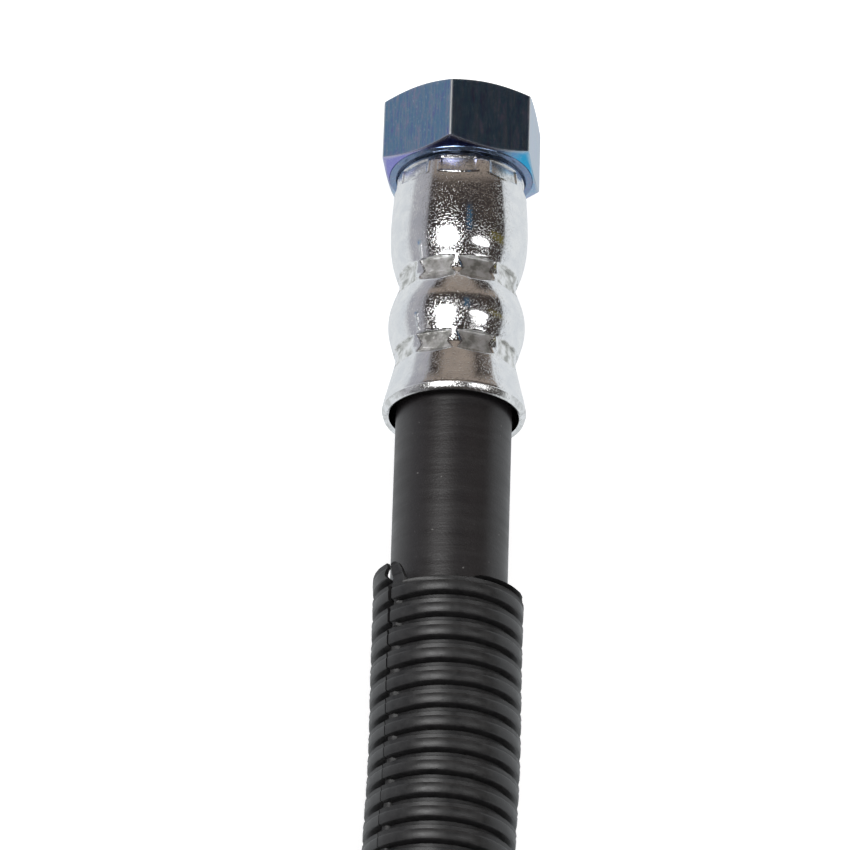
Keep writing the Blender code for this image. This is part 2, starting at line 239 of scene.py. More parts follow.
# The cut end's flare beside the slit and its raised rim
LEFT_FLARE = 0.3
RIGHT_FLARE = 0.55
FLARE_DECAY = 2.0 * MM
RIM_HEIGHT = 0.1 * MM
RIM_DECAY = 0.5 * MM
RIB_FOOT = 0.5 * MM
CUT_REACH = 3.6 * MM
CUT_ROWS = 25
LINING_DEPTH = 8 * MM
SLEEVE_COLUMNS = 38
END_COLUMNS = 181
# The rough cut end: degrees past the slit over the top, and the cut's place along the axis in mm
CUT_LINE = (
    (0, -2.3), (1.5, -2.8), (4, -3.2), (7, -3.2), (9.5, -2.85), (11.5, -2.2), (13, -1.3),
    (14, -0.4), (15, 0.1), (25, 0.15), (54, 0.15), (55.5, 0.05), (56.3, -0.6), (57.6, -0.7),
    (58.4, 0.1), (60, -0.2), (61.5, 0.1), (64, 0), (68, -0.38), (73, -0.55), (80, -0.58),
    (110, -0.6), (150, -0.65), (200, -0.6), (230, -1.0), (270, -2.2), (300, -2.8), (330, -3.2),
    (352, -3.6), (357, -3.5), (360, -3.1))


# Materials

# Places of a mix node's sockets for each kind of data: its two inputs and its output
MIX_SOCKETS = {"RGBA": (6, 7, 2), "FLOAT": (2, 3, 0)}


def new_material(name):
    """Makes a material and gives its node tree and its Principled shader."""
    made = bpy.data.materials.new(name)
    made.use_nodes = True
    tree = made.node_tree
    return made, tree, tree.nodes["Principled BSDF"]


def add_node(tree, kind, **settings):
    """Adds a node and sets its properties."""
    node = tree.nodes.new(kind)
    for key, value in settings.items():
        setattr(node, key, value)
    return node


def coordinates(tree, scale):
    """Gives object coordinates stretched by a scale on each axis."""
    source = add_node(tree, "ShaderNodeTexCoord")
    mapping = add_node(tree, "ShaderNodeMapping")
    mapping.inputs["Scale"].default_value = scale
    tree.links.new(source.outputs["Object"], mapping.inputs["Vector"])
    return mapping.outputs["Vector"]


def noise(tree, vector, scale, detail, roughness):
    """Adds a noise texture and gives its value."""
    node = add_node(tree, "ShaderNodeTexNoise")
    node.inputs["Scale"].default_value = scale
    node.inputs["Detail"].default_value = detail
    node.inputs["Roughness"].default_value = roughness
    tree.links.new(vector, node.inputs["Vector"])
    return node.outputs["Fac"]


def ramp(tree, value, stops):
    """Maps a value to colours or greys through a colour ramp."""
    node = add_node(tree, "ShaderNodeValToRGB")
    elements = node.color_ramp.elements
    while len(elements) < len(stops):
        elements.new(0.5)
    for element, (position, colour) in zip(elements, stops):
        element.position = position
        element.color = (*colour, 1) if isinstance(colour, tuple) else (colour, colour, colour, 1)
    tree.links.new(value, node.inputs["Fac"])
    return node.outputs["Color"]


def plug(tree, socket, value):
    """Links an output to an input, or sets the input to a number or a colour."""
    if isinstance(value, (int, float)):
        socket.default_value = value
    elif isinstance(value, tuple):
        socket.default_value = (*value, 1)
    else:
        tree.links.new(value, socket)


def math_node(tree, operation, first, second):
    """Adds a math node on two values, each a socket or a number."""
    node = add_node(tree, "ShaderNodeMath", operation=operation)
    plug(tree, node.inputs[0], first)
    plug(tree, node.inputs[1], second)
    return node.outputs["Value"]


def bump(tree, height, distance, strength):
    """Adds a bump node and gives its normal."""
    node = add_node(tree, "ShaderNodeBump")
    node.inputs["Strength"].default_value = strength
    node.inputs["Distance"].default_value = distance
    tree.links.new(height, node.inputs["Height"])
    return node.outputs["Normal"]


def step_up(tree, value, low, high):
    """Gives 0 below one value and 1 above another, eased between them."""
    node = add_node(tree, "ShaderNodeMapRange", interpolation_type="SMOOTHSTEP")
    node.inputs["From Min"].default_value = low
    node.inputs["From Max"].default_value = high
    tree.links.new(value, node.inputs["Value"])
    return node.outputs["Result"]


def band(tree, value, middle, reach):
    """Gives 1 at a value's middle, easing to 0 at its reach to both sides."""
    off = math_node(tree, "ABSOLUTE", math_node(tree, "SUBTRACT", value, middle), 0)
    return step_up(tree, off, reach, reach * 0.4)


def mixed(tree, kind, share, first, second):
    """Adds a mix node for a kind of data and gives its output."""
    node = add_node(tree, "ShaderNodeMix", data_type=kind)
    first_place, second_place, output_place = MIX_SOCKETS[kind]
    tree.links.new(share, node.inputs["Factor"])
    plug(tree, node.inputs[first_place], first)
    plug(tree, node.inputs[second_place], second)
    return node.outputs[output_place]


def mix_colour(tree, share, first, second):
    """Mixes two colours, each a socket or three numbers, by a share."""
    return mixed(tree, "RGBA", share, first, second)


def mix_value(tree, share, first, second):
    """Mixes two values, each a socket or a number, by a share."""
    return mixed(tree, "FLOAT", share, first, second)


def attribute(tree, name):
    """Gives a value stored on the mesh's points."""
    return add_node(tree, "ShaderNodeAttribute", attribute_name=name).outputs["Fac"]


def blue_zinc():
    """Blue-passivated zinc: mottled interference colours, brushing along the axis, worn edges that
    also carry a painted highlight, a painted pale reflection on one flat and painted dark shade on
    the chamfer and rear ring.
    """
    made, tree, shader = new_material("blue_zinc_finish")
    blotches = noise(tree, coordinates(tree, (1, 0.3, 1)), 900, 5, 0.75)
    colour = ramp(tree, blotches, (
        (0.34, (0.24, 0.28, 0.58)), (0.44, (0.2, 0.34, 0.58)), (0.5, (0.19, 0.38, 0.56)),
        (0.56, (0.23, 0.38, 0.56)), (0.64, (0.33, 0.36, 0.58)), (0.74, (0.4, 0.45, 0.5))))
    streaks = noise(tree, coordinates(tree, (1, 0.06, 1)), 2600, 3, 0.6)
    colour = mix_colour(tree, ramp(tree, streaks, ((0.45, 0.0), (0.75, 0.6))), colour,
                        (0.46, 0.5, 0.56))
    # Painted dark reflection and painted shade: navy on the chamfer side towards the camera and on
    # the rear ring beside the ferrule
    colour = mix_colour(tree, attribute(tree, "deep"), colour, (0.04, 0.055, 0.2))
    violet = attribute(tree, "violet")
    colour = mix_colour(tree, violet, colour, (0.27, 0.27, 0.62))
    cyan = attribute(tree, "cyan")
    colour = mix_colour(tree, cyan, colour, (0.035, 0.38, 0.66))
    # Lighter where worn, with a painted highlight on corners, edges and the rear rim and a painted
    # pale reflection on one flat
    wear_and_sheen = attribute(tree, "wear_and_sheen")
    colour = mix_colour(tree, wear_and_sheen, colour, (0.8, 0.8, 0.78))
    specks = noise(tree, coordinates(tree, (1, 0.5, 1)), 3400, 2, 0.6)
    colour = mix_colour(tree, ramp(tree, specks, ((0.6, 0.0), (0.7, 0.4))), colour,
                        (0.6, 0.72, 0.78))
    tree.links.new(colour, shader.inputs["Base Color"])
    height = math_node(tree, "ADD", streaks, specks)
    tree.links.new(bump(tree, height, 0.00003, 0.55), shader.inputs["Normal"])
    rough = ramp(tree, blotches, ((0.3, 0.16), (0.7, 0.24)))
    tree.links.new(mix_value(tree, wear_and_sheen, rough, 0.5), shader.inputs["Roughness"])
    shader.inputs["Metallic"].default_value = 1
    return made


def bright_zinc():
    """Near-mirror zinc with rubbed specks; duller and scratched where the dies pressed it."""
    made, tree, shader = new_material("bright_zinc_finish")
    even = coordinates(tree, (1, 1, 1))
    pressed = attribute(tree, "pressed")
    wide = noise(tree, even, 420, 3, 0.6)
    tone = ramp(tree, wide, ((0.35, (0.8, 0.81, 0.83)), (0.65, (0.9, 0.9, 0.9))))
    dents = noise(tree, even, 620, 3, 0.6)
    smudge = ramp(tree, dents, (
        (0.38, (0.44, 0.44, 0.42)), (0.49, (0.72, 0.72, 0.7)), (0.61, (0.94, 0.94, 0.94))))
    tree.links.new(mix_colour(tree, pressed, tone, smudge), shader.inputs["Base Color"])
    specks = noise(tree, even, 3700, 2, 0.55)
    sharp = ramp(tree, specks, ((0.54, 0.0), (0.7, 1.0)))
    swell = math_node(tree, "MULTIPLY", wide, 0.25)
    dented = math_node(tree, "MULTIPLY", math_node(tree, "MULTIPLY", dents, pressed), 1.6)
    height = math_node(tree, "ADD", math_node(tree, "ADD", sharp, swell), dented)
    tree.links.new(bump(tree, height, 0.000028, 0.5), shader.inputs["Normal"])
    rough = ramp(tree, wide, ((0.35, 0.07), (0.65, 0.13)))
    tree.links.new(mix_value(tree, pressed, rough, 0.32), shader.inputs["Roughness"])
    shader.inputs["Metallic"].default_value = 1
    return made


def tail_steel():
    """Turned and plated steel with fine rings."""
    made, tree, shader = new_material("tail_steel_finish")
    rings = noise(tree, coordinates(tree, (0.02, 1, 0.02)), 5000, 2, 0.5)
    tree.links.new(ramp(tree, rings, ((0.3, (0.42, 0.44, 0.48)), (0.7, (0.6, 0.62, 0.65)))),
                   shader.inputs["Base Color"])
    tree.links.new(bump(tree, rings, 0.00002, 0.4), shader.inputs["Normal"])
    shader.inputs["Roughness"].default_value = 0.3
    shader.inputs["Metallic"].default_value = 1
    return made


def hose_rubber():
    """Matte black rubber with faint wrap bands and a few dust specks."""
    made, tree, shader = new_material("hose_rubber_finish")
    bands = noise(tree, coordinates(tree, (0.12, 1, 0.12)), 520, 3, 0.6)
    even = coordinates(tree, (1, 1, 1))
    grain = noise(tree, even, 2600, 3, 0.6)
    specks = noise(tree, even, 1100, 1, 0.5)
    colour = ramp(tree, specks, ((0.0, (0.008, 0.0066, 0.007)), (0.765, (0.012, 0.0098, 0.0105)),
                                 (0.8, (0.09, 0.088, 0.085))))
    tree.links.new(colour, shader.inputs["Base Color"])
    height = math_node(tree, "ADD", bands, math_node(tree, "MULTIPLY", grain, 0.35))
    tree.links.new(bump(tree, height, 0.0001, 0.55), shader.inputs["Normal"])
    shader.inputs["Specular IOR Level"].default_value = 0.62
    tree.links.new(ramp(tree, bands, ((0.35, 0.34), (0.65, 0.44))), shader.inputs["Roughness"])
    return made


def sleeve_plastic():
    """Semi-gloss black moulded plastic with faint flow marks."""
    made, tree, shader = new_material("sleeve_plastic_finish")
    even = coordinates(tree, (1, 1, 1))
    mottle = noise(tree, even, 700, 4, 0.65)
    tree.links.new(ramp(tree, mottle, ((0.3, (0.009, 0.009, 0.0095)), (0.7, (0.02, 0.0195, 0.02)))),
                   shader.inputs["Base Color"])
    grain = noise(tree, even, 2500, 3, 0.6)
    tree.links.new(bump(tree, grain, 0.00003, 0.45), shader.inputs["Normal"])
    tree.links.new(ramp(tree, mottle, ((0.3, 0.33), (0.7, 0.46))), shader.inputs["Roughness"])
    shader.inputs["Specular IOR Level"].default_value = 0.55
    return made


# Geometry

def grid_mesh(name, points, wrap_rows=False, wrap_columns=False, sharp=30):
    """Makes a mesh from a grid of points, rows by columns by three."""
    rows, columns, _ = points.shape
    mesh = bpy.data.meshes.new(name)
    i, j = np.meshgrid(
        np.arange(rows if wrap_rows else rows - 1),
        np.arange(columns if wrap_columns else columns - 1), indexing="ij")
    following_row = (i + 1) % rows
    following_column = (j + 1) % columns
    faces = np.stack([
        i * columns + j, i * columns + following_column,
        following_row * columns + following_column, following_row * columns + j], -1)
    mesh.from_pydata(points.reshape(-1, 3).tolist(), [], faces.reshape(-1, 4).tolist())
    mesh.validate()
    mesh.shade_smooth()
    mesh.set_sharp_from_angle(angle=math.radians(sharp))
    made = bpy.data.objects.new(name, mesh)
    bpy.context.scene.collection.objects.link(made)
    return made


def store(made, name, values):
    """Stores a value for each point of a grid on the mesh."""
    layer = made.data.attributes.new(name, "FLOAT", "POINT")
    layer.data.foreach_set("value", np.ascontiguousarray(values, dtype=np.float32).reshape(-1))


def placed(back, radius, angles, x_offset):
    """Gives points round the fitting's axis from distances behind the nut's face and radii."""
    back, radius, angles = np.broadcast_arrays(back, radius, angles)
    return np.stack([
        x_offset + radius * np.cos(angles),
        NUT_FACE_Y - back,
        AXIS_HEIGHT + radius * np.sin(angles)], -1)


def turned(name, outline, x_offset, columns):
    """Turns a closed outline of (distance behind the nut's face, radius) round the axis."""
    outline = np.array(outline)
    angles = np.linspace(0, 2 * math.pi, columns, endpoint=False)
    points = placed(outline[:, :1], outline[:, 1:], angles[None, :], x_offset)
    return grid_mesh(name, points, wrap_rows=True, wrap_columns=True)


def soft_min(first, second, width):
    """Gives the smaller of two values, rounded off where they cross."""
    blend = np.clip(0.5 + 0.5 * (second - first) / width, 0, 1)
    return second * (1 - blend) + first * blend - width * blend * (1 - blend)


def smooth_step(value, low, high):
    """Gives 0 at one value and 1 at another, eased between them."""
    share = np.clip((value - low) / (high - low), 0, 1)
    return share * share * (3 - 2 * share)


def bell(value, middle, reach, power=2):
    """Gives 1 at a value's middle, falling off to 0 on both sides like a bell."""
    return np.exp(-(((value - middle) / reach) ** power))


def hexagon_angles():
    """Gives angles round a hexagon, close together at its rounded corners."""
    half = 180 / NUT_CORNERS
    near_corner = sorted({-step for step in NUT_STEPS} | set(NUT_STEPS) | {half})
    return np.radians([
        2 * half * corner + step for corner in range(NUT_CORNERS) for step in near_corner])


def off_corner(angles):
    """Gives how far each angle lies from the hexagon's nearest corner."""
    return (angles + NUT_HALF_SECTOR) % (2 * NUT_HALF_SECTOR) - NUT_HALF_SECTOR


def hexagon_radius(angles):
    """Gives a hexagon's radius at each angle, with rounded corners."""
    beta = off_corner(angles)
    centre = (NUT_FLATS / 2 - NUT_EDGE_ROUND) / math.cos(NUT_HALF_SECTOR)
    flat = NUT_FLATS / 2 / np.cos(np.abs(beta) - NUT_HALF_SECTOR)
    tangent = math.atan(
        NUT_EDGE_ROUND / 2 / (centre + NUT_EDGE_ROUND * math.cos(NUT_HALF_SECTOR)))
    inside = np.clip(NUT_EDGE_ROUND ** 2 - (centre * np.sin(beta)) ** 2, 0, None)
    arc = centre * np.cos(beta) + np.sqrt(inside)
    return np.where(np.abs(beta) < tangent, arc, flat)


def make_nut(name, x_offset, finish):
    """Makes the chamfered hexagonal nut with its threaded mouth and rear bore."""
    angles = hexagon_angles()
    corner = hexagon_radius(angles)
    chamfer = (corner - NUT_FACE_RADIUS) * math.tan(NUT_CHAMFER)
    edge = 0.14 * MM
    cone_edge = edge * math.cos(NUT_CHAMFER)
    cone_drop = edge * math.sin(NUT_CHAMFER)
    ones = np.ones_like(angles)
    face_edge = 0.12 * MM
    rim = 0.17 * MM
    outer = [
        (0 * ones, (NUT_FACE_RADIUS - face_edge) * ones),
        (face_edge * 0.3 * ones, NUT_FACE_RADIUS * ones),
        (rim * math.tan(NUT_CHAMFER) * ones, (NUT_FACE_RADIUS + rim) * ones),
        *((chamfer * share, NUT_FACE_RADIUS + (corner - NUT_FACE_RADIUS) * share)
          for share in (0.6, 0.9)),
        (chamfer - cone_drop, corner - cone_edge),
        (chamfer, corner - edge * 0.12),
        (chamfer + edge, corner),
        (chamfer + edge * 3, corner),
        (NUT_LENGTH / 2 * ones, corner),
    ]
    mirrored = [(NUT_LENGTH - back, radius) for back, radius in reversed(outer[2:-1])]
    mirrored += [((NUT_LENGTH + past * MM) * ones, (NUT_FACE_RADIUS + rise * MM) * ones)
                 for past, rise in REAR_RING]
    seat_end = THREAD_DEPTH + THREAD_RADIUS - REAR_BORE_RADIUS
    rear = [
        ((NUT_LENGTH + 0.19 * MM) * ones, (NUT_FACE_RADIUS - 0.9 * MM) * ones),
        ((NUT_LENGTH - 0.1 * MM) * ones, (NUT_FACE_RADIUS - 1.2 * MM) * ones),
        ((NUT_LENGTH - 0.5 * MM) * ones, REAR_BORE_RADIUS * ones),
        (seat_end * ones, REAR_BORE_RADIUS * ones),
        (THREAD_DEPTH * ones, THREAD_RADIUS * ones),
    ]
    thread = []
    turns = np.arange(THREAD_START, THREAD_DEPTH - THREAD_RUNOUT, THREAD_PITCH / THREAD_ROWS)
    for back in turns[::-1]:
        phase = (back / THREAD_PITCH - angles / (2 * math.pi)) % 1
        crest = np.abs(phase - 0.5) * 2
        groove = THREAD_CREST * np.clip(crest * 1.25 - 0.1, 0, 1)
        thread.append((back * ones, THREAD_RADIUS + groove))
    mouth = [
        (THREAD_CREST * ones, (THREAD_RADIUS + MOUTH_PLAY) * ones),
        (0 * ones, (THREAD_RADIUS + THREAD_CREST + MOUTH_PLAY) * ones),
    ]
    rings = outer + mirrored + rear + thread + mouth
    back = np.stack([ring[0] for ring in rings])
    radius = np.stack([ring[1] for ring in rings])
    points = placed(back, radius, angles[None, :], x_offset)
    made = grid_mesh(name, points, wrap_rows=True, wrap_columns=True, sharp=40)
    made.data.materials.append(finish)
    outside = (radius > NUT_FACE_RADIUS + 0.1 * MM) & (back > 0)
    degrees = np.degrees(angles)[None, :]
    on_corner = np.clip(1 - (np.abs(off_corner(angles)) / WORN_SHEEN_CORNER) ** 2, 0, 1)[None, :]
    to_chamfer = np.minimum(back, NUT_LENGTH - back) - chamfer[None, :]
    on_edge = np.clip(1 - (np.abs(to_chamfer) / WORN_SHEEN_EDGE) ** 2, 0, 1)
    straight = smooth_step(to_chamfer, -0.05 * MM, 0.1 * MM)
    # Corners and chamfer edges are lightened: wear, and also a painted edge highlight
    wear_and_sheen = outside * np.maximum(
        on_corner * straight * WORN_SHEEN_CORNER_SHARE, on_edge * WORN_SHEEN_EDGE_SHARE)
    # Painted pale reflection on one flat and painted highlight on the rim of the rear face
    on_flat = np.abs(degrees - PALE_FLAT) < PALE_FLAT_HALF_WIDTH
    pale_flat = PALE_FLAT_SHARE * on_flat * (to_chamfer > 0)
    on_face = radius < NUT_FACE_RADIUS + 0.15 * MM
    off_rear = np.abs(back - NUT_LENGTH)
    rear_rim = REAR_RIM_SHARE * (off_rear < REAR_RIM) * on_face
    store(made, "wear_and_sheen", np.maximum(np.maximum(wear_and_sheen, outside * pale_flat), rear_rim))
    # Painted dark reflection on the rear chamfer towards the camera, and painted shade on the rear
    # ring beside the ferrule
    chamfered = outside & (to_chamfer < 0.05 * MM) & (back > NUT_LENGTH / 2)
    deep = chamfered * (1 - smooth_step(np.abs(degrees - PAINTED_DARK_CHAMFER), *PAINTED_DARK_CHAMFER_FADE))
    rear_ring = REAR_RING_SHARE * (off_rear < REAR_RING_REACH)
    store(made, "deep", np.maximum(deep, rear_ring * on_face))
    for patch, direction, spread in CHAMFER_PATCHES:
        away = np.abs((degrees - direction + 180) % 360 - 180)
        store(made, patch, chamfered * smooth_step(1.6 - away / spread, 0, 1))
    return made


def ferrule_radius(back):
    """Gives the ferrule's outer radius at distances from its top, on a smooth curve."""
    places, radii = np.array(FERRULE_STATIONS).T * MM
    slopes = np.gradient(radii, places)
    k = np.clip(np.searchsorted(places, back) - 1, 0, len(places) - 2)
    span = places[k + 1] - places[k]
    t = np.clip((back - places[k]) / span, 0, 1)
    return ((1 + 2 * t) * (1 - t) ** 2 * radii[k] + t * (1 - t) ** 2 * span * slopes[k]
            + t * t * (3 - 2 * t) * radii[k + 1] + t * t * (t - 1) * span * slopes[k + 1])


def die_radius(back, angles, marks, turn):
    """Gives the radius that a ring of flat dies leaves, with ridges between the dies."""
    start, end, count, flat_distance = marks
    sector = 2 * math.pi / count
    beta = (angles - turn + sector / 2) % sector - sector / 2
    flat = flat_distance * MM / np.cos(sector / 2 - np.abs(beta))
    ridge = DIE_RIDGE * np.clip(1 - (np.abs(beta) / DIE_RIDGE_HALF_ANGLE) ** 4, 0, 1)
    before = np.clip(start * MM - back, 0, None)
    after = np.clip(back - end * MM, 0, None)
    return flat + ridge + DIE_SLOPE_ABOVE * before + DIE_SLOPE_BELOW * after


def shoulder_marks(back, angles):
    """Gives how deep and how high the shoulder's marks and their raised edges are."""
    start, end, count, depth = SHOULDER_MARKS
    sector = 2 * math.pi / count
    beta = np.abs((angles - SHOULDER_TURN) % sector - sector / 2)
    side_fade = 0.012
    edge_fade = 0.08
    across = 1 - smooth_step(beta, MARK_HALF_ANGLE - side_fade, MARK_HALF_ANGLE + side_fade)
    arch = 1 - (beta / MARK_HALF_ANGLE) ** 2
    last = (end - 0.2 + np.maximum(MARK_BOW * arch, 0)) * MM
    along = smooth_step(back, (start - edge_fade) * MM, (start + edge_fade) * MM)
    along = along * (1 - smooth_step(back, last - edge_fade * MM, last + edge_fade * MM))
    # Metal raised at a mark's sides and foot
    side = bell(beta - MARK_HALF_ANGLE, 0.026, 0.016)
    side = side * smooth_step(back, start * MM, (start + 0.4) * MM)
    side = side * (1 - smooth_step(back, last - 0.1 * MM, last + 0.25 * MM))
    foot = bell(back - last, 0.16 * MM, 0.13 * MM)
    foot = foot * (1 - smooth_step(beta, MARK_HALF_ANGLE, MARK_HALF_ANGLE + 0.05))
    pressed = across * along
    sunk = (depth + MARK_DISHING * arch) * MM * pressed
    return pressed, MARK_RAISED * np.maximum(side, foot) - sunk


def ferrule_rows():
    """Gives distances from the ferrule's top, close together where the dies marked it."""
    total = FERRULE_STATIONS[-1][0]
    rows = [0.0]
    while rows[-1] < total - 0.01:
        place = rows[-1]
        marked = any(start - MARKED_MARGIN <= place <= end + MARKED_MARGIN
                     for start, end, _, _ in (SHOULDER_MARKS, UPPER_CRIMP, LOWER_CRIMP))
        rows.append(min(total, place + (MARKED_ROW_STEP if marked else ROW_STEP)))
    return np.array(rows) * MM


def make_ferrule(name, x_offset, finish):
    """Makes the crimped ferrule: bulges, pressed flats, ridges, rolled lip and inside."""
    angles = np.linspace(0, 2 * math.pi, FERRULE_COLUMNS, endpoint=False)[None, :]
    rows = ferrule_rows()
    rows = np.concatenate([[FERRULE_TOP_ROUND], rows[rows > FERRULE_TOP_ROUND]])[:, None]
    profile = ferrule_radius(rows) + 0 * angles
    pressed, relief = shoulder_marks(rows, angles)
    pressed = pressed * MARK_DULLNESS
    radius = profile + relief
    for crimp in (UPPER_CRIMP, LOWER_CRIMP):
        dies = die_radius(rows, angles, crimp, CRIMP_TURN)
        depth = radius - dies
        radius = soft_min(radius, dies, DIE_BLEND)
        on_land = 1 - smooth_step(rows, (crimp[1] - 0.1) * MM, (crimp[1] + 0.15) * MM)
        pressed = np.maximum(pressed, on_land * np.clip(depth / DIE_FULL_DEPTH, 0, 1))
    lean = np.linspace(0, 1, 4)[:-1, None] * math.pi / 2
    top = placed(
        FERRULE_TOP + FERRULE_TOP_ROUND * (1 - np.cos(lean)),
        radius[:1] - FERRULE_TOP_ROUND * (1 - np.sin(lean)), angles, x_offset)
    outer = placed(FERRULE_TOP + rows, radius, angles, x_offset)
    mouth = FERRULE_STATIONS[-1][1] * MM
    roll = np.array(LIP_ROLL)
    lip = placed(
        FITTING_LENGTH - LIP_LENGTH * (1 - roll[:, :1]),
        mouth - LIP_THICKNESS * roll[:, 1:], angles, x_offset)
    inside_start = FITTING_LENGTH - FERRULE_TOP - 0.3 * MM
    inside_rows = np.linspace(inside_start, FERRULE_INSIDE_END, 24)[:, None]
    inner_radius = np.minimum(
        ferrule_radius(inside_rows) - FERRULE_WALL * 0.9, mouth - LIP_THICKNESS - 0.05 * MM)
    inside = placed(FERRULE_TOP + inside_rows, inner_radius, angles, x_offset)
    hidden = np.stack([
        placed(back, REAR_BORE_RADIUS, angles[0], x_offset)
        for back in (FERRULE_TOP + FERRULE_INSIDE_END, FERRULE_TOP)])
    points = np.concatenate([top, outer, lip, inside, hidden])
    made = grid_mesh(name, points, wrap_rows=True, wrap_columns=True, sharp=50)
    made.data.materials.append(finish)
    marks = np.zeros(points.shape[:2])
    outer_end = len(top) + len(outer)
    marks[len(top):outer_end] = pressed
    marks[outer_end:outer_end + len(lip)] = LIP_DULLNESS
    store(made, "pressed", marks)
    return made


def make_tail(name, x_offset, finish):
    """Makes the tail: sealing nose, head, neck and the start of its insert."""
    nose_edge = 0.4 * MM
    outline = (
        (NOSE_DEPTH + 0.3 * MM, TAIL_BORE_RADIUS),
        (NOSE_DEPTH, TAIL_BORE_RADIUS + 0.3 * MM),
        (NOSE_DEPTH, NOSE_RADIUS - nose_edge),
        (NOSE_DEPTH + nose_edge, NOSE_RADIUS),
        (5.6 * MM, NOSE_RADIUS + 0.2 * MM),
        (5.8 * MM, NOSE_RADIUS - 0.15 * MM),
        (6.5 * MM, NOSE_RADIUS - 0.15 * MM),
        (6.7 * MM, NOSE_RADIUS + 0.4 * MM),
        (7.08 * MM, NOSE_RADIUS + 0.48 * MM),
        (7.08 * MM, HEAD_RADIUS - 0.1 * MM),
        (7.2 * MM, HEAD_RADIUS),
        (7.85 * MM, HEAD_RADIUS),
        (9.6 * MM, NECK_RADIUS),
        (NECK_END, NECK_RADIUS),
        (NECK_END, INSERT_RADIUS),
        (INSERT_END, INSERT_RADIUS),
        (INSERT_END, TAIL_BORE_RADIUS),
    )
    made = turned(name, outline, x_offset, TAIL_COLUMNS)
    made.data.materials.append(finish)
    return made


def smooth_route():
    """Gives closely spaced points of the smooth curve through the route's points."""
    chosen = [Vector((x, MOUTH_Y + y, AXIS_HEIGHT)) for x, y in ROUTE_POINTS]
    padded = [chosen[0] * 2 - chosen[1], *chosen, chosen[-1] * 2 - chosen[-2]]
    fine = []
    for a, b, c, d in zip(padded, padded[1:], padded[2:], padded[3:]):
        for i in range(ROUTE_STEPS):
            t = i / ROUTE_STEPS
            fine.append((b * 2 + (c - a) * t + (a * 2 - b * 5 + c * 4 - d) * t * t
                         + (b * 3 - a - c * 3 + d) * t * t * t) / 2)
    fine.append(chosen[-1])
    inward = Vector((0, HOSE_IN_FERRULE, 0))
    return np.array([chosen[0] + inward, *fine, chosen[-1] + inward])


ROUTE = smooth_route()
ROUTE_LENGTHS = np.concatenate(
    [[0], np.cumsum(np.linalg.norm(np.diff(ROUTE, axis=0), axis=1))]) - HOSE_IN_FERRULE
HOSE_END = ROUTE_LENGTHS[-1] - HOSE_IN_FERRULE


def route_points(places):
    """Gives the route's points at distances from the near bell mouth."""
    return np.stack([np.interp(places, ROUTE_LENGTHS, ROUTE[:, k]) for k in range(3)], -1)


def along_route(places):
    """Gives the route's points and sideways directions at distances from the near bell mouth."""
    reach = 2 * MM
    forward = route_points(places + reach) - route_points(places - reach)
    forward /= np.linalg.norm(forward, axis=1)[:, None]
    side = np.stack([-forward[:, 1], forward[:, 0], 0 * forward[:, 0]], -1)
    return route_points(places), side


def tube_points(places, radius, angles):
    """Gives points round the route; places is a column or a grid, angles a row or a grid."""
    places, radius, angles = np.broadcast_arrays(places, radius, angles)
    centre, side = along_route(places.reshape(-1))
    centre = centre.reshape(*places.shape, 3)
    side = side.reshape(*places.shape, 3)
    up = np.array([0, 0, 1.0])
    return (centre + side * (radius * np.cos(angles))[..., None]
            + up * (radius * np.sin(angles))[..., None])


def make_hose(finish):
    """Makes the hose, squeezed where it enters the ferrules."""
    angles = np.linspace(0, 2 * math.pi, HOSE_COLUMNS, endpoint=False)[None, :]
    places = np.arange(-HOSE_IN_FERRULE, HOSE_END + HOSE_IN_FERRULE, HOSE_ROW_STEP)[:, None]
    inside = np.minimum(places, HOSE_END - places)
    free = HOSE_DIAMETER / 2
    squeeze = HOSE_SQUEEZE * np.clip(-(inside + 4 * MM) / (5 * MM), 0, 1)
    made = grid_mesh("hose_body", tube_points(places, free - squeeze, angles), wrap_columns=True)
    made.data.materials.append(finish)
    return made


def rib_radius(places):
    """Gives the sleeve's outer radius at distances from its near end: crowns and grooves."""
    distances, radii = np.array(RIB_PROFILE).T * MM
    return np.interp((places - FIRST_GROOVE) % RIB_PITCH, distances, radii)


def sleeve_rows(start, end):
    """Gives distances along the sleeve that fall on the corners of its ribs."""
    offsets = np.array([distance * MM for distance, _ in RIB_PROFILE[1:]])
    first = int((start - FIRST_GROOVE) / RIB_PITCH) - 2
    last = int((end - FIRST_GROOVE) / RIB_PITCH) + 2
    rows = np.concatenate([FIRST_GROOVE + k * RIB_PITCH + offsets for k in range(first, last)])
    rows = rows[(rows > start) & (rows < end)]
    return np.concatenate([[start], rows, [end]])


